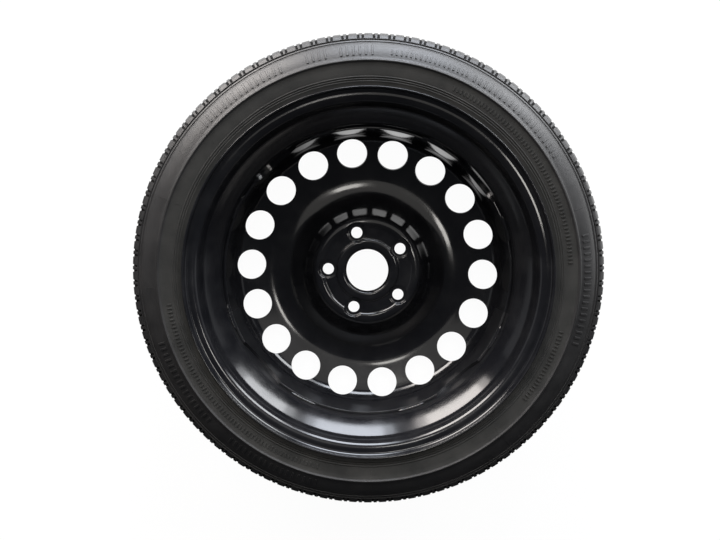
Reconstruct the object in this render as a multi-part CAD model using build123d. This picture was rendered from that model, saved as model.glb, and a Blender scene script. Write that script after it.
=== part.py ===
from build123d import *
import os
from math import cos, radians, sin, tan

# Temporary spare wheel, lying on its outboard side. Millimetres.
# The origin is the centre of the hub mounting face, on the wheel's axis, and +Z points inboard.
# Sections are drawn as (radius, height) and turned about Z.

bend_limit = 0.98            # most of a wall that the bends at its ends may take

# Rim: rolled from one sheet, with a flange and a bead seat at each edge and a well between them
wheel_offset = 41.0          # rim's middle plane above the hub mounting face
rim_width = 101.6            # between the inside faces of the two flanges
rim_sheet = 2.5
bead_seat_diameter = 405.6
flange_height = 13.4         # flange lip above the bead seat
heel_bend = 6.0
flange_land = 0.5            # straight part of the flange between its heel and its curled lip
lip_curl = 30.0              # lip's curl past square, degrees
lip_straight = 0.6           # straight end of the lip
seat_taper = 5.0             # degrees
inboard_seat = 17.3          # length of each bead seat
outboard_seat = 23.0
well_depth = 17.8
well_inboard_edge = 12.0     # inboard edge of the well floor, from the middle plane
well_side_angle = 10.0       # outboard side of the well, degrees from square
inboard_seat_bend = 2.0
outboard_seat_bend = 3.0
well_bend = 5.5
well_corner_bend = 2.0

# Disc: pressed from one sheet, a dish with its flange inside the rim well
disc_sheet = 3.8
bore_diameter = 56.6
bore_collar = 10.0
collar_bend = 1.2
pad_radius = 69.6
pad_bend = 10.2
recess_inner_radius = 40.0   # ring pressed into the pad between the bolts
recess_outer_radius = 60.3
recess_depth = 2.0
recess_side_angle = 38.0     # degrees from the pad
recess_bend = 2.4
cone_angle = 48.0
bowl_depth = 28.9            # where the cone's slope meets the bowl's floor, below the mounting face
bowl_bend = 54.0
bowl_angle = 4.0             # bowl's floor, falling outwards
valley_bend = 40.0
band_angle = 23.0            # vent band, rising towards the flange
band_depth = 18.8            # vent band's middle below the mounting face
flange_bend = 25.0
flange_edge = 43.0           # free edge of the disc's flange above the mounting face

# Holes and pressings of the disc
vent_count = 18
vent_diameter = 40.4
vent_inset = 20.6            # vent centres inside the disc's flange
vent_start = 17.5            # degrees
bolt_count = 5
bolt_circle_diameter = 105.0
bolt_hole_diameter = 15.0
bolt_start = 33.7            # degrees
bolt_seat_angle = 60.0       # full angle of the bolt's conical seat
bolt_seat_depth = 2.0
dimple_radius = 13.6         # dimple round each bolt hole, raised on the outboard side
dimple_depth = 2.8
dimple_side_angle = 35.0
scallop_count = 4
scallop_depth = 16.0
scallop_radius = 45.0
scallop_start = 40.5         # degrees

# Weld runs between the disc's flange edge and the rim well
weld_count = 8
weld_leg = 3.6
weld_span = 10.5             # degrees
weld_start = 18.0            # degrees

# Tyre: one moulding
section_height = 80.9        # crown above the bead seat
section_width = 116.0
bead_fit = 0.1               # tyre from rim
bead_width = 15.0
tread_width = 74.0
tread_drop = 2.6             # crown above the tread's edge
tread_rubber = 10.0
sidewall_rubber = 6.5
shoulder_height = 13.4       # shoulder line below the tread's edge, in radius
shoulder_inset = 11.0        # shoulder line from the widest plane
sidewall_bulge = 1.4
ridge_height = 42.3          # sharp ridge above the bead seat
ridge_width = 1.4
ridge_rise = 1.2
lip_hug = 60.0               # part of the rim lip's curl that the tyre lies against, degrees
gutter_width = 3.0           # shallow gutter beside the rim lip
cushion_width = 2.0          # step from the gutter up to the sidewall
dish_depth = 2.0             # sidewall beside the rim, below the widest plane
groove_count = 3
groove_pitch = 18.0
groove_width = 5.0
groove_depth = 4.0
slot_count = 96              # shoulder slots on each side
slot_width = 3.4
slot_length = 11.0
slot_depth = 4.0
slot_slant = 25.0            # degrees from square across the tread

# Snap-in valve, in the outboard side of the well. Its sizes run along its own axis, outwards from the rim
valve_step = 12              # vent pitch, counted from the first vent, that the valve lies beyond
valve_shift = 1.0            # valve's axis outwards from the middle of that side
valve_hole_diameter = 11.4
valve_base_diameter = 13.0
valve_base_length = 4.0
valve_groove_slope = 1.4     # length of each slanted side of the groove that grips the rim
valve_fit = 0.05             # groove from rim
valve_bulge_diameter = 12.8
valve_bulge_length = 6.0
valve_body_diameter = 11.0
valve_body_taper = 0.8
valve_body_length = 17.0
stem_diameter = 7.7
stem_length = 27.0
stem_foot_diameter = 9.2
stem_foot_length = 1.4
stem_bore_diameter = 4.0
core_bore_diameter = 5.2
core_bore_depth = 6.0
core_taper_length = 4.0

# Valve core
core_fit = 0.05
plug_length = 3.6
plug_inset = 2.0             # core plug below the stem's mouth
barrel_diameter = 3.4
barrel_length = 8.0
barrel_floor = 1.0
spring_room_diameter = 2.7
pin_diameter = 1.0
pin_clearance = 0.12
pin_collar_diameter = 2.4
pin_collar_length = 0.8
pin_inset = 0.7              # pin's tip below the stem's mouth
pin_tail = 2.0               # pin beyond the cup
cup_diameter = 3.3
cup_length = 2.2
spring_wire = 0.3
spring_turns = 5
spring_gap = 0.05

# Valve cap
cap_diameter = 10.6
cap_length = 13.4
cap_end_wall = 2.6
cap_clearance = 0.15
cap_seal_length = 1.0
cap_flute_count = 12
cap_flute_diameter = 1.6


def bend_shares(path, bends, wider, halves):
    """Share of each bend that the walls beside it have room for. Two bends share the wall between them."""
    fixed = [wide * half for wide, half in zip(wider, halves)]
    runs = [bend * half for bend, half in zip(bends, halves)]
    walls = [(b - a).length * bend_limit for a, b in zip(path, path[1:])]
    free = [wall - a - b for wall, a, b in zip(walls, [0, *fixed], [*fixed, 0])]
    shares = [room / (a + b) for room, a, b in zip(free, [0, *runs], [*runs, 0])]
    return [min(1, before, after) for before, after in zip(shares, shares[1:])]


def sheet_section(points, bends, sheet):
    """Section of a bent sheet: its near surface follows the points, and the metal lies to the right.

    Each bend is the radius on its tight side, so the wide side turns one sheet thickness larger.
    A bend that its walls are too short for is made as large as they allow.
    """
    near_points = [Vector(*point) for point in points]
    ways = [(b - a).normalized() for a, b in zip(near_points, near_points[1:])]
    sides = [Vector(way.Y, -way.X) * sheet for way in ways]
    far_points = [near_points[0] + sides[0]]
    for point, before, after in zip(near_points[1:], sides, sides[1:]):
        far_points.append(point + (before + after) / (1 + before.dot(after) / sheet**2))
    far_points.append(near_points[-1] + sides[-1])

    near_wide = [sheet if before.cross(after).Z < 0 else 0 for before, after in zip(ways, ways[1:])]
    far_wide = [sheet - wide for wide in near_wide]
    halves = [tan(radians(before.get_angle(after) / 2)) for before, after in zip(ways, ways[1:])]
    for path, wider in ((near_points, near_wide), (far_points, far_wide)):
        shares = bend_shares(path, bends, wider, halves)
        bends = [bend * share for bend, share in zip(bends, shares)]
    near = FilletPolyline(*near_points, radius=[bend + wide for bend, wide in zip(bends, near_wide)])
    far = FilletPolyline(*far_points, radius=[bend + wide for bend, wide in zip(bends, far_wide)])
    ends = [Line(near @ 0, far @ 0), Line(near @ 1, far @ 1)]
    return make_face(near.edges() + far.edges() + ends)


def turned(section, span=360.0):
    """Solid of a section turned about the wheel's axis."""
    return revolve(Plane.XZ * section, Axis.Z, span)


def turned_outline(*points):
    return turned(make_face(Polyline(*points, close=True)))


def around(shape, count, start):
    """Copies of a shape, evenly spaced about the wheel's axis."""
    return [Rot(0, 0, start + step * 360 / count) * shape for step in range(count)]


# Sizes that follow from the ones above
bead_seat_radius = bead_seat_diameter / 2
half_rim = rim_width / 2
lip_radius = bead_seat_radius + flange_height
lip_bend = flange_height - heel_bend - rim_sheet - flange_land
lip_turn = lip_bend * tan(radians(45 + lip_curl / 2))
lip_corner = lip_radius - rim_sheet - lip_bend + lip_turn
lip_end = lip_corner - (lip_turn + lip_straight) * sin(radians(lip_curl))
lip_reach = (lip_turn + lip_straight) * cos(radians(lip_curl))
seat_slope = tan(radians(seat_taper))
well_floor_radius = bead_seat_radius - well_depth - rim_sheet
inboard_seat_radius = bead_seat_radius - rim_sheet - inboard_seat * seat_slope
outboard_seat_radius = bead_seat_radius - rim_sheet - outboard_seat * seat_slope
well_side_slope = tan(radians(well_side_angle))
outboard_seat_end = wheel_offset - half_rim + outboard_seat
well_outboard_edge = outboard_seat_end + (outboard_seat_radius - well_floor_radius) * well_side_slope
flange_outside = half_rim + rim_sheet
valve_angle = vent_start + (valve_step + 0.5) * 360 / vent_count


def make_rim():
    low_flange = wheel_offset - flange_outside
    high_flange = wheel_offset + flange_outside
    points = [
        (lip_end, low_flange - lip_reach),
        (lip_corner, low_flange),
        (bead_seat_radius - rim_sheet, low_flange),
        (outboard_seat_radius, outboard_seat_end),
        (well_floor_radius, well_outboard_edge),
        (well_floor_radius, wheel_offset + well_inboard_edge),
        (inboard_seat_radius, wheel_offset + half_rim - inboard_seat),
        (bead_seat_radius - rim_sheet, high_flange),
        (lip_corner, high_flange),
        (lip_end, high_flange + lip_reach),
    ]
    low_bends = [lip_bend, heel_bend, outboard_seat_bend, well_corner_bend]
    high_bends = [well_bend, inboard_seat_bend, heel_bend, lip_bend]
    hoop = turned(sheet_section(points, low_bends + high_bends, rim_sheet))
    valve_hole = valve_place() * Cylinder(valve_hole_diameter / 2, 4 * rim_sheet)
    return hoop - valve_hole


def make_disc():
    cone_slope = tan(radians(cone_angle))
    band_slope = tan(radians(band_angle))
    flange_inside = well_floor_radius - disc_sheet
    vent_radius = flange_inside - vent_inset
    bowl_radius = pad_radius + bowl_depth / cone_slope
    bowl_slope = tan(radians(bowl_angle))
    recess_side = recess_depth / tan(radians(recess_side_angle))
    valley_radius = bowl_radius * bowl_slope + vent_radius * band_slope + band_depth - bowl_depth
    valley_radius = valley_radius / (bowl_slope + band_slope)
    points = [
        (bore_diameter / 2, -bore_collar),
        (bore_diameter / 2, 0),
        (recess_inner_radius, 0),
        (recess_inner_radius + recess_side, -recess_depth),
        (recess_outer_radius - recess_side, -recess_depth),
        (recess_outer_radius, 0),
        (pad_radius, 0),
        (bowl_radius, -bowl_depth),
        (valley_radius, (valley_radius - vent_radius) * band_slope - band_depth),
        (flange_inside, (flange_inside - vent_radius) * band_slope - band_depth),
        (flange_inside, flange_edge),
    ]
    recess_bends = [recess_bend] * 4
    bends = [collar_bend, *recess_bends, pad_bend, bowl_bend, valley_bend, flange_bend]
    dish = turned(sheet_section(points, bends, disc_sheet))

    # Each bolt seat is pressed outboard as a dimple, then pierced and coned from the outboard side
    dimple_slope = tan(radians(dimple_side_angle))
    floor_radius = dimple_radius - dimple_depth * dimple_slope
    hole_radius = bolt_hole_diameter / 2
    seat_radius = hole_radius + bolt_seat_depth * tan(radians(bolt_seat_angle / 2))
    seat_top = -dimple_depth - disc_sheet
    boss_height = dimple_depth + (disc_sheet - recess_depth) / 2
    boss = Cone(floor_radius, floor_radius + boss_height * dimple_slope, boss_height)
    boss = Pos(0, 0, seat_top + boss_height / 2) * boss
    dimple = Pos(0, 0, -dimple_depth / 2) * Cone(floor_radius, dimple_radius, dimple_depth)
    hole = Cylinder(hole_radius, 4 * (disc_sheet + dimple_depth))
    seat = Pos(0, 0, seat_top + bolt_seat_depth / 2) * Cone(seat_radius, hole_radius, bolt_seat_depth)
    at_bolt = Pos(bolt_circle_diameter / 2, 0, 0)
    dish += around(at_bolt * boss, bolt_count, bolt_start)
    dish -= around(at_bolt * (dimple + hole + seat), bolt_count, bolt_start)

    vent = Pos(vent_radius, 0, -band_depth) * Rot(0, -band_angle, 0) * Cylinder(vent_diameter / 2, 2 * vent_diameter)
    dish -= around(vent, vent_count, vent_start)

    scallop_place = Pos(well_floor_radius, 0, flange_edge - scallop_depth + scallop_radius)
    scallop = scallop_place * Rot(0, 90, 0) * Cylinder(scallop_radius, 4 * disc_sheet)
    return dish - around(scallop, scallop_count, scallop_start)


def make_weld_beads():
    foot = (well_floor_radius - weld_leg, flange_edge)
    top = (well_floor_radius, flange_edge + weld_leg)
    corner = (well_floor_radius, flange_edge)
    section = make_face([Line(foot, corner), Line(corner, top), SagittaArc(top, foot, 0.15 * weld_leg)])
    bead = Rot(0, 0, -weld_span / 2) * turned(section, weld_span)
    return Compound(children=around(bead, weld_count, weld_start))


def make_tyre():
    crown = bead_seat_radius + section_height
    half_section = section_width / 2
    half_tread = tread_width / 2
    seat_end = half_rim - bead_width
    seat_end_radius = bead_seat_radius - bead_width * seat_slope + bead_fit
    flange_side = half_rim - bead_fit
    lip_side = lip_radius + bead_fit
    ridge_radius = bead_seat_radius + ridge_height
    edge_radius = crown - tread_drop
    lip_curve = lip_bend + rim_sheet + bead_fit
    lip_centre = (lip_side - lip_curve, flange_side + lip_curve)

    # Bead against the rim, heights measured from the middle plane
    bead = FilletPolyline(
        (seat_end_radius, seat_end),
        (bead_seat_radius + bead_fit, flange_side),
        (lip_centre[0], flange_side),
        radius=heel_bend - bead_fit,
    )
    lip_arc = CenterArc(lip_centre, lip_curve, -90, lip_hug)
    gutter_start = lip_arc @ 1
    gutter_end = gutter_start + Vector(gutter_width, 0)
    # Sidewall, from the gutter at the rim lip out to the ridge, the shoulder line and the tread's edge
    wall = Polyline(
        gutter_start,
        gutter_end,
        (gutter_end.X + cushion_width, half_section - dish_depth),
        (ridge_radius - ridge_width, half_section),
        (ridge_radius - ridge_width / 2, half_section + ridge_rise),
        (ridge_radius, half_section + ridge_rise),
        (ridge_radius + ridge_width / 2, half_section - ridge_rise),
    )
    shoulder_line = (edge_radius - shoulder_height, half_section - shoulder_inset)
    flank = SagittaArc(wall @ 1, shoulder_line, sidewall_bulge)
    shoulder = SagittaArc(shoulder_line, (edge_radius, half_tread), sidewall_bulge)
    # Inside of the casing
    inner_wall = half_section - sidewall_rubber
    inner_crown = crown - tread_rubber
    casing = Polyline((seat_end_radius, seat_end), (ridge_radius - ridge_height / 2, inner_wall))
    inner_shoulder = (edge_radius - shoulder_height, half_section - shoulder_inset - sidewall_rubber)
    inner_flank = SagittaArc(casing @ 1, inner_shoulder, sidewall_bulge)
    half = [*bead.edges(), lip_arc, *wall.edges(), flank, shoulder, *casing.edges(), inner_flank]
    other_half = [mirror(edge, Plane.XZ) for edge in half]
    tread = ThreePointArc((edge_radius, half_tread), (crown, 0), (edge_radius, -half_tread))
    inner_tread = ThreePointArc(
        inner_shoulder,
        (inner_crown, 0),
        (inner_shoulder[0], -inner_shoulder[1]),
    )
    tyre = Pos(0, 0, wheel_offset) * turned(make_face([*half, *other_half, tread, inner_tread]))

    # Straight grooves round the tread
    groove_floor = crown - groove_depth
    for step in range(groove_count):
        middle = wheel_offset + (step - (groove_count - 1) / 2) * groove_pitch
        low = middle - groove_width / 2
        high = middle + groove_width / 2
        tyre -= turned_outline((groove_floor, low), (crown + 1, low), (crown + 1, high), (groove_floor, high))

    # Slanted slots across each shoulder
    slot = Box(2 * slot_depth, slot_width, 2 * slot_length)
    for side in (1, -1):
        place = Pos(edge_radius, 0, wheel_offset + side * half_tread)
        tyre -= around(place * Rot(side * slot_slant, 0, 0) * slot, slot_count, 0)
    return tyre


def valve_place():
    """Valve's own frame: on the well's outboard side, with +Z out of the rim."""
    radius = (well_floor_radius + outboard_seat_radius) / 2 + valve_shift
    height = well_outboard_edge - (radius - well_floor_radius) * well_side_slope
    tilt = Rot(0, 180 + well_side_angle, 0)
    return Rot(0, 0, valve_angle) * Pos(radius, 0, height) * tilt


def make_valve():
    """Valve pieces by name, drawn along the valve's own axis."""
    base_end = -rim_sheet - valve_base_length
    groove_radius = valve_hole_diameter / 2 - valve_fit
    groove_end = -rim_sheet - valve_fit
    stem_radius = stem_diameter / 2
    foot_radius = stem_foot_diameter / 2
    foot_top = base_end + stem_foot_length
    body = turned_outline(
        (stem_radius, valve_body_length),
        (valve_body_diameter / 2, valve_body_length),
        ((valve_body_diameter + valve_body_taper) / 2, valve_bulge_length),
        (valve_bulge_diameter / 2, valve_bulge_length / 2),
        (valve_bulge_diameter / 2, valve_groove_slope),
        (groove_radius, valve_fit),
        (groove_radius, groove_end),
        (valve_base_diameter / 2, groove_end - valve_groove_slope),
        (valve_base_diameter / 2, base_end),
        (foot_radius, base_end),
        (foot_radius, foot_top),
        (stem_radius, foot_top),
    )
    core_bore = core_bore_diameter / 2
    stem_bore = stem_bore_diameter / 2
    taper_top = stem_length - core_bore_depth
    taper_end = taper_top - core_taper_length
    stem = turned_outline(
        (stem_bore, base_end),
        (foot_radius, base_end),
        (foot_radius, foot_top),
        (stem_radius, foot_top),
        (stem_radius, stem_length),
        (core_bore, stem_length),
        (core_bore, taper_top),
        (stem_bore, taper_end),
    )

    # Valve core: the plug screws into the stem and holds the barrel down on its tapered seal
    pin_radius = pin_diameter / 2
    pin_hole = pin_radius + pin_clearance
    plug_top = stem_length - plug_inset
    plug_end = plug_top - plug_length
    plug = turned_outline(
        (pin_hole, plug_end),
        (core_bore - core_fit, plug_end),
        (core_bore - core_fit, plug_top),
        (pin_hole, plug_top),
    )
    barrel_radius = barrel_diameter / 2
    spring_room = spring_room_diameter / 2
    barrel_end = plug_end - barrel_length
    floor_top = barrel_end + barrel_floor
    barrel = turned_outline(
        (pin_hole, barrel_end),
        (barrel_radius, barrel_end),
        (barrel_radius, plug_end),
        (spring_room, plug_end),
        (spring_room, floor_top),
        (pin_hole, floor_top),
    )
    seal = turned_outline(
        (barrel_radius, taper_end),
        (stem_bore - core_fit, taper_end),
        (core_bore - core_fit, taper_top),
        (barrel_radius, taper_top),
    )
    collar_radius = pin_collar_diameter / 2
    collar_top = plug_end - core_fit
    collar_end = collar_top - pin_collar_length
    cup_end = barrel_end - cup_length
    pin = turned_outline(
        (0, cup_end - pin_tail),
        (pin_radius, cup_end - pin_tail),
        (pin_radius, collar_end),
        (collar_radius, collar_end),
        (collar_radius, collar_top),
        (pin_radius, collar_top),
        (pin_radius, stem_length - pin_inset),
        (0, stem_length - pin_inset),
    )
    cup = turned_outline(
        (pin_radius, cup_end),
        (cup_diameter / 2, cup_end),
        (cup_diameter / 2, barrel_end),
        (pin_radius, barrel_end),
    )
    spring_radius = (pin_radius + spring_room) / 2
    spring_bottom = floor_top + spring_gap + spring_wire / 2
    spring_height = collar_end - spring_gap - spring_wire / 2 - spring_bottom
    coil = Pos(0, 0, spring_bottom) * Helix(spring_height / spring_turns, spring_height, spring_radius)
    wire = Plane(origin=coil @ 0, z_dir=coil % 0) * Circle(spring_wire / 2)
    spring = sweep(wire, path=coil, is_frenet=True)

    # Cap, with a flat seal that closes on the stem's mouth
    seal_end = stem_length + core_fit
    seal_top = seal_end + cap_seal_length
    cap_top = seal_top + cap_end_wall
    cap_start = cap_top - cap_length
    cap_bore = stem_radius + cap_clearance
    cap_seal = turned_outline(
        (stem_bore, seal_end),
        (stem_radius, seal_end),
        (stem_radius, seal_top),
        (stem_bore, seal_top),
    )
    cap = turned_outline(
        (0, seal_top),
        (cap_bore, seal_top),
        (cap_bore, cap_start),
        (cap_diameter / 2, cap_start),
        (cap_diameter / 2, cap_top),
        (0, cap_top),
    )
    cap = chamfer(cap.faces().sort_by(Axis.Z)[-1].edges(), cap_end_wall / 3)
    flute = Pos(cap_diameter / 2, 0, cap_start) * Cylinder(
        cap_flute_diameter / 2,
        cap_length - cap_end_wall,
        align=(Align.CENTER, Align.CENTER, Align.MIN),
    )
    cap -= around(flute, cap_flute_count, 0)
    return {
        "valve_body": body,
        "valve_stem": stem,
        "core_plug": plug,
        "core_barrel": barrel,
        "core_seal": seal,
        "core_pin": pin,
        "core_cup": cup,
        "core_spring": spring,
        "cap_seal": cap_seal,
        "valve_cap": cap,
    }


pieces = {
    "tyre": make_tyre(),
    "rim": make_rim(),
    "disc": make_disc(),
    "weld_beads": make_weld_beads(),
}
for name, piece in make_valve().items():
    pieces[name] = valve_place() * piece

os.makedirs("parts", exist_ok=True)
for name, piece in pieces.items():
    export_step(piece, os.path.join("parts", name + ".step"))
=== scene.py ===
import bpy
from math import acos, atan2, ceil, cos, degrees, hypot, pi, radians, sin, tan
from mathutils import Matrix, Vector


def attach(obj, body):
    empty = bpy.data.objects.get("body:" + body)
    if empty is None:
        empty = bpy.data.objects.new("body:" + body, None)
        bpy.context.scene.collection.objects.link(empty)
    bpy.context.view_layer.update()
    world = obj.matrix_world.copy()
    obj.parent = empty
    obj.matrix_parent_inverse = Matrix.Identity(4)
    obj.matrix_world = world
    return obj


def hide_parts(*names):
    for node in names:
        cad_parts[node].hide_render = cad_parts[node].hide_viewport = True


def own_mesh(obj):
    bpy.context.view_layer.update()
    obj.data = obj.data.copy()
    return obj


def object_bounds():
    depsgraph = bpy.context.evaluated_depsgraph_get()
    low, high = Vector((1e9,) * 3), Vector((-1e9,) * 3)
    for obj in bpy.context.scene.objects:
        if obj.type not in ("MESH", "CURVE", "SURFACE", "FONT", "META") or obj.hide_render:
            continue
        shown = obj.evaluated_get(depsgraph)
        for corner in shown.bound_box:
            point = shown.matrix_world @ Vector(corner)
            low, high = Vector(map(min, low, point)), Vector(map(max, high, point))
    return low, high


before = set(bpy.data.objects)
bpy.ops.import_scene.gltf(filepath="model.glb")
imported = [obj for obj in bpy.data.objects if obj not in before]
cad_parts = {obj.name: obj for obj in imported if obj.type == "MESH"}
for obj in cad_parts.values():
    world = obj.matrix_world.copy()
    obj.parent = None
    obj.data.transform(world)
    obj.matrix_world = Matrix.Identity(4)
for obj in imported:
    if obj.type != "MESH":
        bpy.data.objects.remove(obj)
cad_box = [list(corner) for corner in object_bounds()]

# Rim. One strip of steel, rolled into a hoop and pressed to a section with two curled flanges, two
# tapered bead seats and a deep well between them. It is dipped in gloss black paint with the disc.
mm = 0.001
wheel_offset = 41.0
rim_width = 101.6
rim_sheet = 2.5
bead_seat_radius = 202.8
flange_height = 13.4
heel_bend = 6.0
flange_land = 0.5
lip_curl = 30.0
lip_straight = 0.6
seat_taper = 5.0
inboard_seat = 17.3
outboard_seat = 23.0
well_depth = 17.8
well_inboard_edge = 12.55
well_side_hollow = 0.42
well_side_angle = 10.0
outboard_seat_bend = 3.0
outboard_well_bend = 2.0
inboard_well_bend = 5.5
well_side_bend = 320.0
inboard_seat_bend = 2.0
edge_round = 0.7
rim_arc_error = 0.012
rim_run = 4.0
rim_steps = 360
merge_distance = 0.002


def rounded(corners, longest, arc_error, coarsest=22):
    """Closed outline through corners of (radius, height, bend), with arcs at the bends.

    Straight runs are parted at the longest length. Arcs keep to the error, and to the coarsest angle in
    degrees.
    """
    spots = [Vector(corner[:2]) for corner in corners]
    legs = [spots[(index + 1) % len(spots)] - spot for index, spot in enumerate(spots)]
    halves = []
    for index, leg in enumerate(legs):
        halves.append((pi - abs(legs[index - 1].angle_signed(leg))) / 2)
    runs = [corner[2] / tan(half) for corner, half in zip(corners, halves)]
    fits = [min(1, leg.length * 0.98 / (runs[index] + runs[(index + 1) % len(runs)] + 0.001))
            for index, leg in enumerate(legs)]
    outline = []
    for index, spot in enumerate(spots):
        bend = corners[index][2] * min(fits[index - 1], fits[index])
        half = halves[index]
        before = -legs[index - 1].normalized()
        after = legs[index].normalized()
        start = spot + before * bend / tan(half)
        centre = spot + (before + after).normalized() * bend / sin(half)
        turn = pi - 2 * half
        side = 1 if before.cross(after) < 0 else -1
        step_angle = min(radians(coarsest), 2 * acos(1 - arc_error / max(bend, 2 * arc_error)))
        steps = max(1, ceil(turn / step_angle))
        for step in range(steps + 1):
            outline.append(centre + Matrix.Rotation(side * turn * step / steps, 2) @ (start - centre))
    points = []
    for first, second in zip(outline, outline[1:] + outline[:1]):
        parts = max(1, ceil((second - first).length / longest))
        points += [first.lerp(second, part / parts) for part in range(parts)]
    return points


def sheet_corners(path, bends, sheet):
    """Corners of a bent sheet: its near surface follows the path, and the metal lies to the right."""
    near = [Vector(point) for point in path]
    ways = [(b - a).normalized() for a, b in zip(near, near[1:])]
    sides = [Vector((way.y, -way.x)) * sheet for way in ways]
    far = [near[0] + sides[0]]
    for point, before, after in zip(near[1:], sides, sides[1:]):
        far.append(point + (before + after) / (1 + before.dot(after) / sheet**2))
    far.append(near[-1] + sides[-1])
    near_bends = [edge_round]
    far_bends = [edge_round]
    for bend, before, after in zip(bends, ways, ways[1:]):
        turns_right = before.cross(after) < 0
        near_bends.append(bend + sheet if turns_right else bend)
        far_bends.append(bend if turns_right else bend + sheet)
    near_bends.append(edge_round)
    far_bends.append(edge_round)
    near_side = [(*point, bend) for point, bend in zip(near, near_bends)]
    far_side = [(*point, bend) for point, bend in zip(far, far_bends)]
    return near_side + far_side[::-1]


def select_none():
    bpy.ops.object.select_all(action="DESELECT")


def turned_piece(name, outline, steps):
    """Solid of a closed outline of (radius, height) in millimetres, spun about the wheel's axis."""
    select_none()
    bpy.ops.mesh.primitive_circle_add(vertices=len(outline), radius=mm)
    piece = bpy.context.object
    piece.name = name
    for vertex, (across, up) in zip(piece.data.vertices, outline):
        vertex.co = (across * mm, 0, up * mm)
    bpy.ops.object.mode_set(mode="EDIT")
    bpy.ops.mesh.select_all(action="SELECT")
    bpy.ops.mesh.spin(steps=steps, angle=2 * pi, center=(0, 0, 0), axis=(0, 0, 1))
    bpy.ops.mesh.select_all(action="SELECT")
    bpy.ops.mesh.remove_doubles(threshold=merge_distance * mm)
    bpy.ops.mesh.normals_make_consistent(inside=False)
    bpy.ops.object.mode_set(mode="OBJECT")
    bpy.ops.object.transform_apply(location=True, rotation=True, scale=True)
    return piece


def smooth(piece, angle=32):
    select_none()
    piece.select_set(True)
    bpy.context.view_layer.objects.active = piece
    bpy.ops.object.shade_smooth_by_angle(angle=radians(angle))


def make_group(name, inputs, outputs):
    """Empty shader group with float inputs, named with their defaults, and float outputs."""
    group = bpy.data.node_groups.new(name, "ShaderNodeTree")
    for label, default in inputs.items():
        socket = group.interface.new_socket(name=label, in_out="INPUT", socket_type="NodeSocketFloat")
        socket.default_value = default
    for label in outputs:
        group.interface.new_socket(name=label, in_out="OUTPUT", socket_type="NodeSocketFloat")
    return group, group.nodes.new("NodeGroupInput"), group.nodes.new("NodeGroupOutput")


def join_sockets(tree, *pairs):
    for output, target in pairs:
        tree.links.new(output, target)


# Blotches: soft patches that shift a finish from place to place, from 0 to 1
blotches, given, result = make_group("blotches", {"Size": 20.0, "Low": 0.35, "High": 0.7}, ["Mask"])
place = blotches.nodes.new("ShaderNodeTexCoord")
cloud = blotches.nodes.new("ShaderNodeTexNoise")
cloud.inputs["Detail"].default_value = 5.0
cloud.inputs["Roughness"].default_value = 0.62
spread = blotches.nodes.new("ShaderNodeMapRange")
join_sockets(
    blotches,
    (place.outputs["Object"], cloud.inputs["Vector"]),
    (given.outputs["Size"], cloud.inputs["Scale"]),
    (cloud.outputs["Fac"], spread.inputs["Value"]),
    (given.outputs["Low"], spread.inputs["From Min"]),
    (given.outputs["High"], spread.inputs["From Max"]),
    (spread.outputs["Result"], result.inputs["Mask"]),
)

# Grain: fine relief of a moulded or sprayed surface
grain, given, result = make_group("grain", {"Size": 900.0, "Detail": 2.0}, ["Height"])
place = grain.nodes.new("ShaderNodeTexCoord")
cloud = grain.nodes.new("ShaderNodeTexNoise")
join_sockets(
    grain,
    (place.outputs["Object"], cloud.inputs["Vector"]),
    (given.outputs["Size"], cloud.inputs["Scale"]),
    (given.outputs["Detail"], cloud.inputs["Detail"]),
    (cloud.outputs["Fac"], result.inputs["Height"]),
)


def new_finish(name, slot_values):
    """Material with its Principled shader set to plain values, and its node tree."""
    material = bpy.data.materials.new(name)
    material.use_nodes = True
    shader = material.node_tree.nodes["Principled BSDF"]
    for socket, value in slot_values.items():
        shader.inputs[socket].default_value = value
    return material, material.node_tree, shader


def add_group(tree, group, **values):
    node = tree.nodes.new("ShaderNodeGroup")
    node.node_tree = group
    for socket, value in values.items():
        node.inputs[socket].default_value = value
    return node


def colour_mix(tree, mask, first, second):
    """Colour that goes from first to second as the mask goes from 0 to 1."""
    mix = tree.nodes.new("ShaderNodeMix")
    mix.data_type = "RGBA"
    mix.inputs["A"].default_value = (*first, 1)
    mix.inputs["B"].default_value = (*second, 1)
    tree.links.new(mask, mix.inputs["Factor"])
    return mix.outputs["Result"]


def value_range(tree, mask, low, high):
    """Value that goes from low to high as the mask goes from 0 to 1."""
    spread = tree.nodes.new("ShaderNodeMapRange")
    spread.inputs["To Min"].default_value = low
    spread.inputs["To Max"].default_value = high
    tree.links.new(mask, spread.inputs["Value"])
    return spread.outputs["Result"]


def relief(tree, shader, height, depth, strength):
    bump = tree.nodes.new("ShaderNodeBump")
    bump.inputs["Strength"].default_value = strength
    bump.inputs["Distance"].default_value = depth
    tree.links.new(height, bump.inputs["Height"])
    tree.links.new(bump.outputs["Normal"], shader.inputs["Normal"])


# The paint is glossy, apart from a satin film low in the well and on the disc's flange
paint_black = (0.0056, 0.0057, 0.0068)
paint_dusty = (0.0125, 0.0125, 0.0135)
satin_below = -50.0
well_margin = 0.5


def paint_finish(name, gloss):
    """Black paint with a slight orange peel and patches of dust."""
    finish, tree, shader = new_finish(name, {"IOR": 1.5})
    patches = add_group(tree, blotches, Size=26.0, Low=0.42, High=0.78)
    peel = add_group(tree, grain, Size=420.0, Detail=1.5)
    colour = colour_mix(tree, patches.outputs["Mask"], paint_black, paint_dusty)
    roughness = value_range(tree, patches.outputs["Mask"], *gloss)
    join_sockets(tree, (colour, shader.inputs["Base Color"]), (roughness, shader.inputs["Roughness"]))
    relief(tree, shader, peel.outputs["Height"], 0.00006, 0.18)
    return finish


paint = paint_finish("gloss_black_paint", (0.1, 0.18))
satin_paint = paint_finish("satin_black_paint", (0.36, 0.44))

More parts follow.
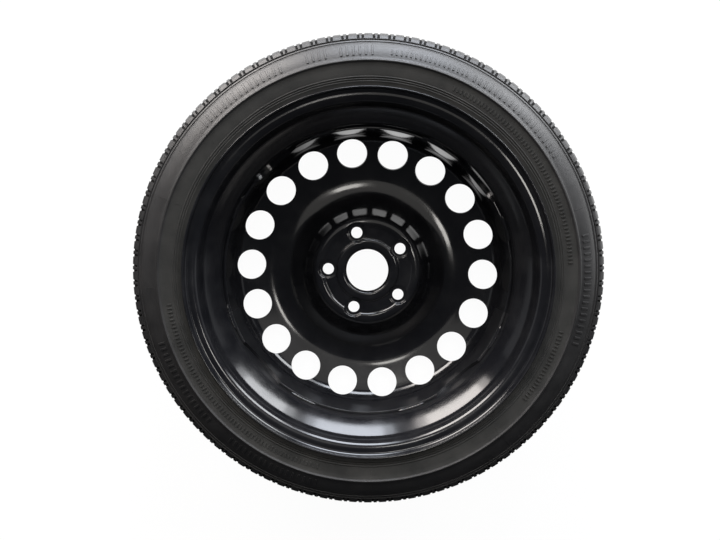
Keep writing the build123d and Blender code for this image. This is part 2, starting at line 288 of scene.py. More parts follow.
half_rim = rim_width / 2
lip_radius = bead_seat_radius + flange_height
lip_bend = flange_height - heel_bend - rim_sheet - flange_land
lip_turn = lip_bend * tan(radians(45 + lip_curl / 2))
lip_corner = lip_radius - rim_sheet - lip_bend + lip_turn
lip_end = lip_corner - (lip_turn + lip_straight) * sin(radians(lip_curl))
lip_reach = (lip_turn + lip_straight) * cos(radians(lip_curl))
seat_slope = tan(radians(seat_taper))
well_floor_radius = bead_seat_radius - well_depth - rim_sheet
inboard_seat_radius = bead_seat_radius - rim_sheet - inboard_seat * seat_slope
outboard_seat_radius = bead_seat_radius - rim_sheet - outboard_seat * seat_slope
outboard_seat_end = wheel_offset - half_rim + outboard_seat
well_side = (outboard_seat_radius - well_floor_radius) * tan(radians(well_side_angle))
well_side_middle = wheel_offset + (well_inboard_edge + half_rim - inboard_seat) / 2
low_flange = wheel_offset - half_rim - rim_sheet
high_flange = wheel_offset + half_rim + rim_sheet
rim_path = [
    (lip_end, low_flange - lip_reach),
    (lip_corner, low_flange),
    (bead_seat_radius - rim_sheet, low_flange),
    (outboard_seat_radius, outboard_seat_end),
    (well_floor_radius, outboard_seat_end + well_side),
    (well_floor_radius, wheel_offset + well_inboard_edge),
    ((well_floor_radius + inboard_seat_radius) / 2 - well_side_hollow, well_side_middle),
    (inboard_seat_radius, wheel_offset + half_rim - inboard_seat),
    (bead_seat_radius - rim_sheet, high_flange),
    (lip_corner, high_flange),
    (lip_end, high_flange + lip_reach),
]
rim_bends = [
    lip_bend,
    heel_bend,
    outboard_seat_bend,
    outboard_well_bend,
    inboard_well_bend,
    well_side_bend,
    inboard_seat_bend,
    heel_bend,
    lip_bend,
]
rim_corners = sheet_corners(rim_path, rim_bends, rim_sheet)
rim = turned_piece("steel_rim", rounded(rim_corners, rim_run, rim_arc_error), rim_steps)
rim.data.materials.append(paint)
rim.data.materials.append(satin_paint)
for face in rim.data.polygons:
    in_well = face.center.xy.length < (well_floor_radius + well_margin) * mm
    face.material_index = int(in_well and face.center.y < satin_below * mm)
smooth(rim)
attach(rim, "wheel")
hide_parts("rim")

# Disc. A round blank of steel, pressed to a dish with a flat hub pad, then pierced with a ring of round
# vents and five bolt holes in dimples. Its flange is pressed into the rim's well.
disc_sheet = 3.8
bore_radius = 28.3
pad_radius = 69.6
recess_inner_radius = 40.0
recess_outer_radius = 60.3
recess_depth = 2.0
recess_side_angle = 38.0
cone_angle = 48.0
bowl_depth = 28.88
bowl_angle = 4.0
band_angle = 23.0
band_depth = 18.8
flange_edge = 43.0
flange_margin = 4.0
collar_depth = 10.0
collar_bend = 1.2
recess_bend = 2.4
pad_bend = 10.2
bowl_bend = 54.0
valley_bend = 40.0
flange_bend = 21.0
disc_arc_error = 0.02
disc_run = 3.4
disc_steps = 360
vent_count = 18
vent_radius = 20.2
vent_inset = 20.6
vent_start = 17.5
vent_sides = 96
bolt_count = 5
bolt_circle_radius = 52.5
bolt_hole_radius = 7.5
bolt_start = 33.7
bolt_seat_depth = 2.0
bolt_seat_angle = 30.0
dimple_depth = 2.8
dimple_floor = 10.9
dimple_edge = 14.2
dimple_blend = 0.5
dimple_draft = 0.2
scallop_count = 4
scallop_depth = 16.0
scallop_radius = 45.0
scallop_start = 40.5
scallop_sides = 160

flange_inside = well_floor_radius - disc_sheet
vent_circle_radius = flange_inside - vent_inset
bowl_radius = pad_radius + bowl_depth / tan(radians(cone_angle))
bowl_slope = tan(radians(bowl_angle))
band_slope = tan(radians(band_angle))
recess_side = recess_depth / tan(radians(recess_side_angle))
valley_radius = bowl_radius * bowl_slope + vent_circle_radius * band_slope + band_depth - bowl_depth
valley_radius = valley_radius / (bowl_slope + band_slope)
disc_path = [
    (bore_radius, -collar_depth),
    (bore_radius, 0.0),
    (recess_inner_radius, 0.0),
    (recess_inner_radius + recess_side, -recess_depth),
    (recess_outer_radius - recess_side, -recess_depth),
    (recess_outer_radius, 0.0),
    (pad_radius, 0.0),
    (bowl_radius, -bowl_depth),
    (valley_radius, (valley_radius - vent_circle_radius) * band_slope - band_depth),
    (flange_inside, vent_inset * band_slope - band_depth),
    (flange_inside, flange_edge),
]
disc_bends = [collar_bend] + [recess_bend] * 4 + [pad_bend, bowl_bend, valley_bend, flange_bend]
disc_corners = sheet_corners(disc_path, disc_bends, disc_sheet)
disc_outline = rounded(disc_corners, disc_run, disc_arc_error)
hub_zone = (36.0, 68.0)
hub_step = 1.15
fine_outline = []
for first, second in zip(disc_outline, disc_outline[1:] + disc_outline[:1]):
    in_hub = hub_zone[0] < (first.x + second.x) / 2 < hub_zone[1]
    parts = ceil((second - first).length / hub_step) if in_hub else 1
    fine_outline += [first.lerp(second, part / parts) for part in range(parts)]
disc = turned_piece("pressed_disc", fine_outline, disc_steps)


def soft_lower(first, second):
    """The lower of two heights, with a soft blend where they are about the same."""
    share = max(0.0, 1 - abs(first - second) / dimple_blend)
    return min(first, second) - share * share * dimple_blend / 4


bolt_spots = []
for step in range(bolt_count):
    turn = radians(bolt_start + step * 360 / bolt_count)
    bolt_spots.append(Vector((cos(turn), sin(turn))) * bolt_circle_radius)
sheet_middle = -(recess_depth + disc_sheet) / 2
for vertex in disc.data.vertices:
    spot = vertex.co.xy / mm
    height = vertex.co.z / mm
    if not hub_zone[0] < spot.length < hub_zone[1]:
        continue
    lift = 0 if height > sheet_middle else disc_sheet
    away = min((spot - bolt_spot).length for bolt_spot in bolt_spots) - lift * dimple_draft
    share = max(0.0, min(1.0, (away - dimple_floor) / (dimple_edge - dimple_floor)))
    pressed = dimple_depth * (share * share * (3 - 2 * share) - 1) - lift
    if share < 1:
        vertex.co.z = soft_lower(height, pressed) * mm


def about_axis(place, turn):
    return Matrix.Rotation(radians(turn), 4, "Z") @ place


def round_tool(low_radius, high_radius, length, place, sides=72):
    """Cone or cylinder in millimetres, its middle at the place, as a tool for cuts."""
    select_none()
    bpy.ops.mesh.primitive_cone_add(
        vertices=sides, radius1=low_radius * mm, radius2=high_radius * mm, depth=length * mm
    )
    tool = bpy.context.object
    moved = place.copy()
    moved.translation = place.translation * mm
    tool.data.transform(moved)
    return tool


def at(across, up):
    return Matrix.Translation((across, 0, up))


def cut(piece, tools):
    """Cuts the tools, which lie clear of each other, out of a piece."""
    select_none()
    for tool in tools:
        tool.select_set(True)
    bpy.context.view_layer.objects.active = tools[0]
    bpy.ops.object.join()
    joined = bpy.context.object
    select_none()
    piece.select_set(True)
    bpy.context.view_layer.objects.active = piece
    bpy.ops.object.modifier_add(type="BOOLEAN")
    modifier = piece.modifiers[-1]
    modifier.operation = "DIFFERENCE"
    modifier.solver = "MANIFOLD"
    modifier.object = joined
    bpy.ops.object.modifier_apply(modifier=modifier.name)
    bpy.data.objects.remove(joined)


overrun = 0.6
seat_slope_out = tan(radians(bolt_seat_angle))
seat_end = -dimple_depth - disc_sheet
holes = []
edges = []
for step in range(bolt_count):
    turn = bolt_start + step * 360 / bolt_count
    hole_place = about_axis(at(bolt_circle_radius, -disc_sheet), turn)
    holes.append(round_tool(bolt_hole_radius, bolt_hole_radius, 6 * disc_sheet, hole_place))
    seat_height = bolt_seat_depth + 2 * overrun
    seat_wide = bolt_hole_radius + (bolt_seat_depth + overrun) * seat_slope_out
    seat_narrow = bolt_hole_radius - overrun * seat_slope_out
    seat_place = about_axis(at(bolt_circle_radius, seat_end + bolt_seat_depth / 2), turn)
    edges.append(round_tool(seat_wide, seat_narrow, seat_height, seat_place))
    mouth_place = about_axis(at(bolt_circle_radius, -dimple_depth), turn)
    mouth_narrow, mouth_wide = bolt_hole_radius - overrun / 2, bolt_hole_radius + overrun * 1.5
    edges.append(round_tool(mouth_narrow, mouth_wide, 2 * overrun, mouth_place))
piercings = []
for step in range(vent_count):
    turn = vent_start + step * 360 / vent_count
    tilted = at(vent_circle_radius, -band_depth) @ Matrix.Rotation(radians(-band_angle), 4, "Y")
    vent_place = about_axis(tilted, turn)
    piercings.append(round_tool(vent_radius, vent_radius, 3 * vent_radius, vent_place, vent_sides))
for step in range(scallop_count):
    turn = scallop_start + step * 360 / scallop_count
    scallop_middle = at(well_floor_radius, flange_edge - scallop_depth + scallop_radius)
    scallop_place = about_axis(scallop_middle @ Matrix.Rotation(pi / 2, 4, "Y"), turn)
    scallop_tool = round_tool(scallop_radius, scallop_radius, 4 * disc_sheet, scallop_place, scallop_sides)
    piercings.append(scallop_tool)
cut(disc, holes)
cut(disc, edges)
cut(disc, piercings)
disc.data.materials.clear()
disc.data.materials.append(paint)
disc.data.materials.append(satin_paint)
for face in disc.data.polygons:
    on_flange = face.center.xy.length > (flange_inside - flange_margin) * mm and face.center.z > 0
    face.material_index = int(on_flange and face.center.y < satin_below * mm)
smooth(disc)
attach(disc, "wheel")
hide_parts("disc")

# Weld runs. Eight short beads of weld metal, laid by hand between the free edge of the disc's flange and
# the rim's well. They are painted over with the rest.
weld_count = 8
weld_leg = 3.6
weld_span = 10.5
weld_start = 18.0
weld_steps = 42
weld_ripples = 9
weld_sides = 12
weld_width = 0.43
weld_crown = 0.2
weld_root = 0.42
weld_ripple = 0.06
weld_sway = 0.07
weld_end = 0.35
weld_taper = 6
root_radius = (well_floor_radius - weld_root * weld_leg) * mm
root_height = (flange_edge + weld_root * weld_leg) * mm
weld_foot = (flange_edge - 1) * mm
weld_runs = []
for step in range(weld_count):
    select_none()
    bpy.ops.mesh.primitive_circle_add(vertices=weld_sides, radius=mm)
    run = bpy.context.object
    middle = weld_start + step * 360 / weld_count
    first = radians(middle + weld_span / 2)
    for index, vertex in enumerate(run.data.vertices):
        around = 2 * pi * index / weld_sides
        along_face, off_face = weld_width * cos(around), weld_crown * sin(around)
        across = well_floor_radius + weld_leg * (along_face - off_face - weld_root)
        up = flange_edge + weld_leg * (along_face + off_face + weld_root)
        vertex.co = (across * cos(first) * mm, across * sin(first) * mm, up * mm)
    bpy.ops.object.mode_set(mode="EDIT")
    bpy.ops.mesh.select_all(action="SELECT")
    bpy.ops.mesh.edge_face_add()
    bpy.ops.mesh.spin(steps=weld_steps, angle=radians(weld_span), center=(0, 0, 0), axis=(0, 0, 1))
    bpy.ops.mesh.select_all(action="SELECT")
    bpy.ops.mesh.remove_doubles(threshold=merge_distance * mm)
    bpy.ops.mesh.normals_make_consistent(inside=False)
    bpy.ops.object.mode_set(mode="OBJECT")
    for vertex in run.data.vertices:
        along = (degrees(atan2(vertex.co.y, vertex.co.x)) - middle + 180) % 360 - 180
        share = along / weld_span + 0.5
        swell = 1 + weld_ripple * sin(2 * pi * weld_ripples * share)
        swell += weld_sway * sin(11.0 * share + 2.3 * step)
        size = swell * min(1, weld_end + weld_taper * min(share, 1 - share))
        radius = hypot(vertex.co.x, vertex.co.y)
        new_radius = min(root_radius + (radius - root_radius) * size, well_floor_radius * mm)
        new_height = max(root_height + (vertex.co.z - root_height) * size, weld_foot)
        vertex.co = (vertex.co.x * new_radius / radius, vertex.co.y * new_radius / radius, new_height)
    weld_runs.append(run)
select_none()
for run in weld_runs:
    run.select_set(True)
bpy.context.view_layer.objects.active = weld_runs[0]
bpy.ops.object.join()
welds = bpy.context.object
welds.name = "weld_runs"
welds.data.materials.append(paint)
smooth(welds, 60)
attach(welds, "wheel")
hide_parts("weld_beads")

# Tyre. A narrow tubeless tyre, moulded in one piece of black rubber with cords and bead wires inside.
# It is mounted on the rim and held there by its own pressure.
slot_count = 96
slot_columns = 4
tyre_steps = slot_count * slot_columns
crown_radius = 283.68
groove_floor = 279.7
ridge_radius = 243.7
rib_radii = (222.0, 224.4, 226.8)
rib_rise = 0.4
rib_foot = 55.2
rib_slope = 0.18
tyre_half = [
    (201.6, 35.8, 2.0),
    (202.9, 50.7, 5.9),
    (213.34, 50.7, 3.4),
    (214.36, 52.47, 0.3),
    (217.5, 54.8, 0.6),
]
for radius in rib_radii:
    foot = rib_foot + (radius - rib_radii[0]) * rib_slope
    tyre_half += [
        (radius - 0.8, foot, 0.0),
        (radius - 0.3, foot + rib_rise, 0.0),
        (radius + 0.3, foot + rib_rise, 0.0),
        (radius + 0.8, foot, 0.0),
    ]
tyre_half += [
    (229.5, 56.5, 30.0),
    (242.1, 58.2, 1.0),
    (ridge_radius, 59.7, 0.6),
    (245.3, 59.3, 0.7),
    (246.6, 57.3, 1.0),
    (258.3, 54.5, 45.0),
    (265.8, 48.6, 0.4),
    (266.6, 47.1, 0.4),
    (267.6, 46.7, 0.4),
    (268.3, 47.1, 0.4),
    (269.9, 46.3, 0.4),
    (270.4, 44.9, 0.4),
    (271.1, 44.6, 0.4),
    (271.8, 45.4, 0.4),
    (276.6, 43.8, 13.0),
    (281.1, 37.0, 2.0),
    (282.9, 20.5, 0.5),
    (groove_floor, 20.2, 0.8),
    (groove_floor, 15.8, 0.8),
    (283.3, 15.5, 0.5),
    (crown_radius, 2.5, 0.5),
    (groove_floor, 2.2, 0.8),
]
casing_half = [(224.0, 51.5, 15.0), (267.7, 40.5, 8.0)]
tyre_corners = tyre_half + [(across, -up, bend) for across, up, bend in tyre_half[::-1]]
tyre_corners += [(across, -up, bend) for across, up, bend in casing_half] + casing_half[::-1]
tyre_arc_error = 0.09
tyre_run = 9.0
tyre_coarsest = 45
tyre_outline = rounded(tyre_corners, tyre_run, tyre_arc_error, tyre_coarsest)
placed_outline = [(across, up + wheel_offset) for across, up in tyre_outline]
tyre = turned_piece("spare_tyre", placed_outline, tyre_steps)

# Slots across both shoulders, sunk into every second column of faces, then drawn together in pairs. The
# columns of the slots are first made half as wide as those between them.
slot_depth = 3.0
slot_mouth = 1.0
slot_rise = (26.0, 33.0)
slot_inner = 24.0
slot_outer_radius = 272.4
slot_reach = 46.0
slot_lean = 0.17
slot_draft = 0.3
slot_phase = 0.25
phase_margin = 0.1
slot_angle = 360 / slot_count
column_shifts = (1 / 6, 1 / 12)
for vertex in tyre.data.vertices:
    column = round(degrees(atan2(vertex.co.y, vertex.co.x)) / slot_angle * slot_columns)
    shift = radians(slot_angle) * column_shifts[column % 2]
    vertex.co = Matrix.Rotation(shift, 3, "Z") @ vertex.co
bpy.ops.object.mode_set(mode="EDIT")
bpy.ops.mesh.select_mode(type="FACE")
bpy.ops.mesh.select_all(action="DESELECT")
bpy.ops.object.mode_set(mode="OBJECT")
for face in tyre.data.polygons:
    middle = face.center
    across = hypot(middle.x, middle.y) / mm
    off_middle = abs(middle.z / mm - wheel_offset)
    phase = degrees(atan2(middle.y, middle.x)) / slot_angle % 0.5
    in_shoulder = off_middle > slot_inner and across > slot_outer_radius
    face.select = in_shoulder and abs(phase - slot_phase) < phase_margin
bpy.ops.object.mode_set(mode="EDIT")
bpy.ops.mesh.inset(thickness=slot_draft * mm, depth=-slot_depth * mm, use_even_offset=True)
bpy.ops.object.mode_set(mode="OBJECT")
slot_floor = {index for face in tyre.data.polygons if face.select for index in face.vertices}
bpy.ops.object.mode_set(mode="EDIT")
bpy.ops.mesh.select_all(action="SELECT")
bpy.ops.mesh.normals_make_consistent(inside=False)
bpy.ops.object.mode_set(mode="OBJECT")
for vertex in tyre.data.vertices:
    off_middle = abs(vertex.co.z / mm - wheel_offset)
    reach = (max(slot_inner, min(slot_reach, off_middle)) - slot_inner) / (slot_reach - slot_inner)
    phase = degrees(atan2(vertex.co.y, vertex.co.x)) / slot_angle % 1
    side = 1 if phase < 0.5 else -1
    swing = 1 - abs(phase % 0.5 - slot_phase) / slot_phase
    twist = side * swing * slot_lean * radians(slot_angle) * reach
    if vertex.index in slot_floor:
        share = max(0.0, min(1.0, (off_middle - slot_rise[0]) / (slot_rise[1] - slot_rise[0])))
        away = vertex.co.xy.normalized() * (vertex.co.xy.length - ridge_radius * mm)
        outward = Vector((away.x, away.y, vertex.co.z - wheel_offset * mm)).normalized()
        vertex.co += outward * share * (slot_depth - slot_mouth) * mm
    vertex.co = Matrix.Rotation(twist, 3, "Z") @ vertex.co


def rubber_finish(name, dark, pale, gloss, specular):
    """Moulded rubber with fine pores and patches of a paler bloom."""
    finish, tree, shader = new_finish(name, {"IOR": 1.5, "Specular IOR Level": specular})
    patches = add_group(tree, blotches, Size=32.0, Low=0.3, High=0.72)
    pores = add_group(tree, grain, Size=1400.0, Detail=3.0)
    colour = colour_mix(tree, patches.outputs["Mask"], dark, pale)
    roughness = value_range(tree, patches.outputs["Mask"], *gloss)
    join_sockets(tree, (colour, shader.inputs["Base Color"]), (roughness, shader.inputs["Roughness"]))
    relief(tree, shader, pores.outputs["Height"], 0.0002, 0.35)
    return finish


# Clean and dark outside the ridge, dusty on the band inside it
dusty_from, dusty_to = 218.0, 242.0
rubber_dark, rubber_pale = (0.008, 0.0076, 0.0076), (0.016, 0.0152, 0.015)
dusty_dark, dusty_pale = (0.015, 0.015, 0.0142), (0.03, 0.0292, 0.027)
# Painted shade: a near-black rubber for the slot floors, standing in for the shade deep in the slots
slot_shade_dark, slot_shade_pale = (0.002, 0.002, 0.002), (0.005, 0.0048, 0.0046)
rubber = rubber_finish("moulded_rubber", rubber_dark, rubber_pale, (0.41, 0.5), 0.45)
dusty_rubber = rubber_finish("dusty_rubber", dusty_dark, dusty_pale, (0.55, 0.68), 0.2)


def dress_in_rubber(piece):
    """Puts both rubbers on a piece, the dusty one on the band inside the ridge."""
    piece.data.materials.append(rubber)
    piece.data.materials.append(dusty_rubber)
    for face in piece.data.polygons:
        across = face.center.xy.length / mm
        face.material_index = int(dusty_from < across < dusty_to)


dress_in_rubber(tyre)
# The slot floors take the near-black rubber, which is painted shade in the slots
slot_shade_rubber = rubber_finish("slot_shade_rubber", slot_shade_dark, slot_shade_pale, (0.7, 0.8), 0.1)
tyre.data.materials.append(slot_shade_rubber)
for face in tyre.data.polygons:
    if all(index in slot_floor for index in face.vertices):
        face.material_index = 2
smooth(tyre, 40)
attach(tyre, "wheel")
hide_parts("tyre")

# Sidewall bars. Plain raised bars and thin mould lines that stand a little proud of the sidewall. They
# are moulded in one with the tyre. A row is (first angle, last angle, inner radius, outer radius, pitch
# angle, foot width), and a mould line lies on both sides of the ridge.
bar_rows = [
    (33.0, 62.0, 250.0, 260.0, 1.6, 3.2),
    (64.0, 84.0, 251.5, 258.5, 1.25, 2.6),
    (89.0, 97.0, 250.0, 263.0, 1.6, 3.4),
    (101.0, 107.0, 250.0, 263.0, 1.6, 3.4),
    (113.0, 138.0, 250.0, 263.0, 1.7, 3.4),
    (198.0, 222.0, 250.0, 260.0, 1.6, 3.2),
    (230.0, 256.0, 250.0, 260.0, 1.6, 3.2),
    (342.0, 372.0, 250.0, 260.0, 1.6, 3.2),
    (4.0, 66.0, 231.0, 236.5, 1.1, 2.2),
    (188.0, 256.0, 231.0, 236.5, 1.1, 2.2),
    (322.0, 344.0, 231.0, 236.5, 1.1, 2.2),
]
mould_lines = (18, 45, 139, 159, 183, 233, 271, 310)
line_spans = [(229.0, 242.0, 4), (247.5, 264.5, 5)]
line_width, line_top, line_rise = 0.7, 0.4, 0.25
bar_top, bar_rise, bar_parts = 0.6, 0.75, 3
wall_low = 44.0
wall_zone = (227.5, 266.0)
wall_points = [point for point in tyre_outline
               if point.y > wall_low and wall_zone[0] < point.x < wall_zone[1]]
wall_points.sort(key=lambda point: point.x)


def wall_height(across):
    """Height of the inboard sidewall's surface at a radius, from the wheel's middle plane."""
    for low, high in zip(wall_points, wall_points[1:]):
        if low.x <= across <= high.x:
            return low.y + (high.y - low.y) * (across - low.x) / max(high.x - low.x, 0.001)
    return wall_points[-1].y


def sidewall_bar(turn, inner, outer, foot_width, top_width, rise, parts):
    """Raised bar across the sidewall, from an inner to an outer radius, cut to follow its curve."""
    select_none()
    bpy.ops.mesh.primitive_cube_add(size=1.0)
    bar = bpy.context.object
    bpy.ops.object.mode_set(mode="EDIT")
    for place in [0.0] + [step / parts - 0.5 for step in range(1, parts)]:
        bpy.ops.mesh.select_all(action="SELECT")
        bpy.ops.mesh.bisect(plane_co=(place, 0, 0), plane_no=(1, 0, 0))
    bpy.ops.object.mode_set(mode="OBJECT")
    for vertex in bar.data.vertices:
        on_top = vertex.co.z > 0
        along = vertex.co.x * (1 - (foot_width - top_width) / (outer - inner) if on_top else 1)
        across = inner + (along + 0.5) * (outer - inner)
        offset = vertex.co.y * (top_width if on_top else foot_width)
        up = wheel_offset + wall_height(across) + (rise if on_top else -rise)
        angle = radians(turn) + offset / across
        vertex.co = (across * cos(angle) * mm, across * sin(angle) * mm, up * mm)
    return bar


bars = []
for first, last, inner, outer, pitch, width in bar_rows:
    count = int((last - first) / pitch)
    pattern = sidewall_bar(first, inner, outer, width, width * bar_top, bar_rise, bar_parts)
    bars.append(pattern)
    for step in range(1, count + 1):
        bar = bpy.data.objects.new("bar", pattern.data.copy())
        bar.data.transform(Matrix.Rotation(radians(step * pitch), 4, "Z"))
        bpy.context.scene.collection.objects.link(bar)
        bars.append(bar)
for turn in mould_lines:
    for inner, outer, parts in line_spans:
        bars.append(sidewall_bar(turn, inner, outer, line_width, line_top, line_rise, parts))
select_none()
for bar in bars:
    bar.select_set(True)
bpy.context.view_layer.objects.active = bars[0]
bpy.ops.object.join()
sidewall_bars = bpy.context.object
sidewall_bars.name = "sidewall_bars"
dress_in_rubber(sidewall_bars)
smooth(sidewall_bars, 30)
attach(sidewall_bars, "wheel")

# Valve. A rubber body snapped into the rim's outboard side, with a turned brass stem moulded into it, a
# brass core with its spring and seals, and a screwed plastic cap.
brass, tree, shader = new_finish("turned_brass", {"Metallic": 1.0, "IOR": 1.5})
patches = add_group(tree, blotches, Size=300.0, Low=0.3, High=0.7)
brass_colour = colour_mix(tree, patches.outputs["Mask"], (0.72, 0.52, 0.24), (0.52, 0.37, 0.17))
brass_gloss = value_range(tree, patches.outputs["Mask"], 0.24, 0.4)
tree.links.new(brass_colour, shader.inputs["Base Color"])
tree.links.new(brass_gloss, shader.inputs["Roughness"])

steel, tree, shader = new_finish("spring_steel", {"Metallic": 1.0})
patches = add_group(tree, blotches, Size=500.0, Low=0.3, High=0.7)
steel_colour = colour_mix(tree, patches.outputs["Mask"], (0.56, 0.56, 0.57), (0.4, 0.4, 0.41))
join_sockets(tree, (steel_colour, shader.inputs["Base Color"]))
shader.inputs["Roughness"].default_value = 0.3

cap_plastic, tree, shader = new_finish("satin_black_plastic", {"IOR": 1.46})
patches = add_group(tree, blotches, Size=120.0, Low=0.3, High=0.7)
pebble = add_group(tree, grain, Size=3000.0, Detail=2.0)
cap_colour = colour_mix(tree, patches.outputs["Mask"], (0.013, 0.013, 0.014), (0.024, 0.024, 0.025))
cap_gloss = value_range(tree, patches.outputs["Mask"], 0.36, 0.48)
join_sockets(tree, (cap_colour, shader.inputs["Base Color"]), (cap_gloss, shader.inputs["Roughness"]))
relief(tree, shader, pebble.outputs["Height"], 0.00005, 0.3)

seal_white, tree, shader = new_finish("pale_seal_plastic", {"IOR": 1.4})
patches = add_group(tree, blotches, Size=400.0, Low=0.3, High=0.7)
seal_colour = colour_mix(tree, patches.outputs["Mask"], (0.7, 0.68, 0.62), (0.56, 0.54, 0.49))
join_sockets(tree, (seal_colour, shader.inputs["Base Color"]))
shader.inputs["Roughness"].default_value = 0.45

valve_finishes = {
    "valve_body": rubber,
    "valve_stem": brass,
    "core_plug": brass,
    "core_barrel": brass,
    "core_pin": brass,
    "core_seal": seal_white,
    "core_cup": rubber,
    "cap_seal": rubber,
    "valve_cap": cap_plastic,
}
for node, finish in valve_finishes.items():
    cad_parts[node].data.materials.clear()
    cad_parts[node].data.materials.append(finish)

# Coil spring of the valve's core, of drawn steel wire. It sits between the barrel's floor and the pin's
# collar. The real spring shortens towards the floor as the pin is pressed in; here it is a fixed copy of
# the CAD spring.
spring = bpy.data.objects.new("coil_spring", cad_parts["core_spring"].data.copy())
bpy.context.scene.collection.objects.link(spring)
spring.data.materials.clear()
spring.data.materials.append(steel)
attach(spring, "wheel")
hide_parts("core_spring")
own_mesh(spring)

# Studio. A wide white floor that the wheel lies on, three tall windows on its far side, two small ceiling
# lamps, a dim ceiling and dim walls, in a dark room. The camera sees the floor white all over. In the
# paint's reflections the floor glows on its side towards the windows: a painted reflection that no lamp
# makes.
floor_height = cad_box[0][2]
floor_radius = 7.0
floor_bounce = (0.75, 0.75, 0.75, 1)
floor_shadow = (0.05, 0.05, 0.05, 1)
floor_glow = 0.96
# Painted reflection: the floor glows for glossy rays only, strongest on its side towards the windows
reflection_glow_turn = radians(75)
reflection_glow_from, reflection_glow_to = 0.1, 0.23
reflection_glow_strength = 2.2
select_none()
bpy.ops.mesh.primitive_circle_add(
    vertices=96, radius=floor_radius, fill_type="NGON", location=(0, 0, floor_height)
)
floor = bpy.context.object
floor.name = "studio_floor"
bpy.ops.object.transform_apply(location=True, rotation=True, scale=True)
white_floor = bpy.data.materials.new("white_floor")
white_floor.use_nodes = True
tree = white_floor.node_tree
tree.nodes.remove(tree.nodes["Principled BSDF"])
plain = tree.nodes.new("ShaderNodeBsdfDiffuse")
plain.inputs["Color"].default_value = floor_bounce
shadowed = tree.nodes.new("ShaderNodeBsdfDiffuse")
shadowed.inputs["Color"].default_value = floor_shadow
glow = tree.nodes.new("ShaderNodeEmission")
seen = tree.nodes.new("ShaderNodeAddShader")
chosen = tree.nodes.new("ShaderNodeMixShader")
ray = tree.nodes.new("ShaderNodeLightPath")
spot = tree.nodes.new("ShaderNodeTexCoord")
reflection_glow_axis = tree.nodes.new("ShaderNodeVectorMath")
reflection_glow_axis.operation = "DOT_PRODUCT"
reflection_glow_axis.inputs[1].default_value = (cos(reflection_glow_turn), sin(reflection_glow_turn), 0)
reflection_glow_side = tree.nodes.new("ShaderNodeMapRange")
reflection_glow_side.inputs["From Min"].default_value = reflection_glow_from
reflection_glow_side.inputs["From Max"].default_value = reflection_glow_to
reflection_glow_side.inputs["To Max"].default_value = reflection_glow_strength


def math_node(operation, first, second):
    node = tree.nodes.new("ShaderNodeMath")
    node.operation = operation
    for socket, value in zip(node.inputs, (first, second)):
        if isinstance(value, float):
            socket.default_value = value
        else:
            tree.links.new(value, socket)
    return node.outputs["Value"]


straight = math_node("MAXIMUM", ray.outputs["Is Camera Ray"], ray.outputs["Is Transmission Ray"])
any_ray = math_node("MAXIMUM", straight, ray.outputs["Is Glossy Ray"])
seen_glow = math_node("MULTIPLY", straight, floor_glow)
# Painted reflection: glossy rays see the floor glow on its side towards the windows, not light falling on
# it
painted_reflection_glow = math_node("MULTIPLY", ray.outputs["Is Glossy Ray"], reflection_glow_side.outputs["Result"])
join_sockets(
    tree,
    (spot.outputs["Object"], reflection_glow_axis.inputs[0]),
    (reflection_glow_axis.outputs["Value"], reflection_glow_side.inputs["Value"]),
    (math_node("ADD", seen_glow, painted_reflection_glow), glow.inputs["Strength"]),
    (shadowed.outputs["BSDF"], seen.inputs[0]),
    (glow.outputs["Emission"], seen.inputs[1]),
    (any_ray, chosen.inputs["Fac"]),
    (plain.outputs["BSDF"], chosen.inputs[1]),
    (seen.outputs["Shader"], chosen.inputs[2]),
    (chosen.outputs["Shader"], tree.nodes["Material Output"].inputs["Surface"]),
)
floor.data.materials.append(white_floor)


def soft_lamp(name, turn, height_angle, distance, wide, tall, radiance, colour):
    """Flat lamp that faces the wheel, seen in its paint as a panel of the given radiance."""
    lamp_data = bpy.data.lights.new(name, "AREA")
    lamp_data.shape = "RECTANGLE"
    lamp_data.size = wide
    lamp_data.size_y = tall
    lamp_data.energy = radiance * pi * wide * tall
    lamp_data.color = colour
    lamp = bpy.data.objects.new(name, lamp_data)
    level = cos(radians(height_angle)) * distance
    lamp.location = (
        level * cos(radians(turn)),
        level * sin(radians(turn)),
        sin(radians(height_angle)) * distance,
    )
    lamp.rotation_euler = lamp.location.to_track_quat("Z", "Y").to_euler()
    lamp.visible_camera = False
    bpy.context.scene.collection.objects.link(lamp)


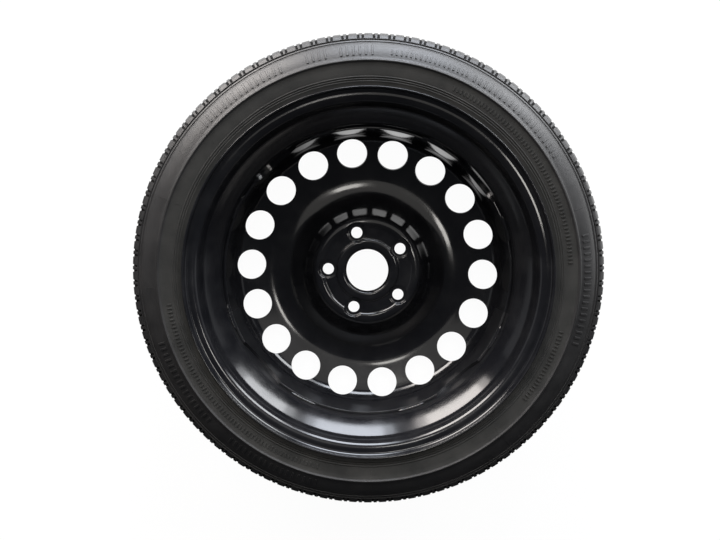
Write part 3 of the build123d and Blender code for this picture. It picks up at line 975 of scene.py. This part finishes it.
neutral = (0.95, 0.97, 1.0)
sky = (0.86, 0.91, 1.0)
cream = (1.0, 0.94, 0.9)
lamp_white = (1.0, 0.97, 0.92)
window_rise = 19
window_distance, edge_distance = 2.4, 2.42
window_tall = 1.35
window_fade = 0.2
core_share, edge_share = 0.55, 0.45
windows = [
    ("right_window", 45.5, 1.02, 13.5, neutral),
    ("middle_window", 82, 1.36, 15.5, sky),
    ("left_window", 125.5, 1.25, 17.0, cream),
]
for name, turn, wide, radiance, colour in windows:
    core, edge = radiance * core_share, radiance * edge_share
    core_wide, edge_wide = wide - window_fade, wide + window_fade
    soft_lamp(name, turn, window_rise, window_distance, core_wide, window_tall, core, colour)
    soft_lamp(name + "_edge", turn, window_rise, edge_distance, edge_wide, window_tall, edge, colour)
other_lamps = [
    ("right_lamp", 15, 70, 2.2, 0.3, 0.3, 13.0, lamp_white),
    ("left_lamp", 105, 70, 2.2, 0.3, 0.3, 12.0, lamp_white),
    ("ceiling", 85, 67.5, 2.6, 3.0, 1.35, 0.7, lamp_white),
    ("right_wall", 5, 16, 2.7, 1.6, 1.5, 0.4, neutral),
    ("left_wall", 172, 16, 2.7, 1.8, 1.5, 0.35, neutral),
    ("far_wall", 88, 16, 2.8, 5.2, 1.6, 0.7, neutral),
]
for lamp_values in other_lamps:
    soft_lamp(*lamp_values)

world = bpy.data.worlds.new("dark_room")
bpy.context.scene.world = world
world.use_nodes = True
tree = world.node_tree
dim = tree.nodes["Background"]
dim.inputs["Color"].default_value = (0.068, 0.072, 0.082, 1)
bright = tree.nodes.new("ShaderNodeBackground")
bright.inputs["Color"].default_value = (1, 1, 1, 1)
ray = tree.nodes.new("ShaderNodeLightPath")
chosen = tree.nodes.new("ShaderNodeMixShader")
join_sockets(
    tree,
    (ray.outputs["Is Camera Ray"], chosen.inputs["Fac"]),
    (dim.outputs["Background"], chosen.inputs[1]),
    (bright.outputs["Background"], chosen.inputs[2]),
    (chosen.outputs["Shader"], tree.nodes["World Output"].inputs["Surface"]),
)

# Camera, square on to the wheel's inboard side and a little to one side of its axis
camera_data = bpy.data.cameras.new("camera")
camera_data.sensor_width = 36.0
camera_data.lens = 26.955
camera = bpy.data.objects.new("camera", camera_data)
camera.location = (-0.0070, 0.0553, 0.7192)
camera.rotation_euler = (radians(-4.35), radians(0.23), 0)
bpy.context.scene.collection.objects.link(camera)
bpy.context.scene.camera = camera
bpy.context.scene.view_settings.view_transform = "Standard"
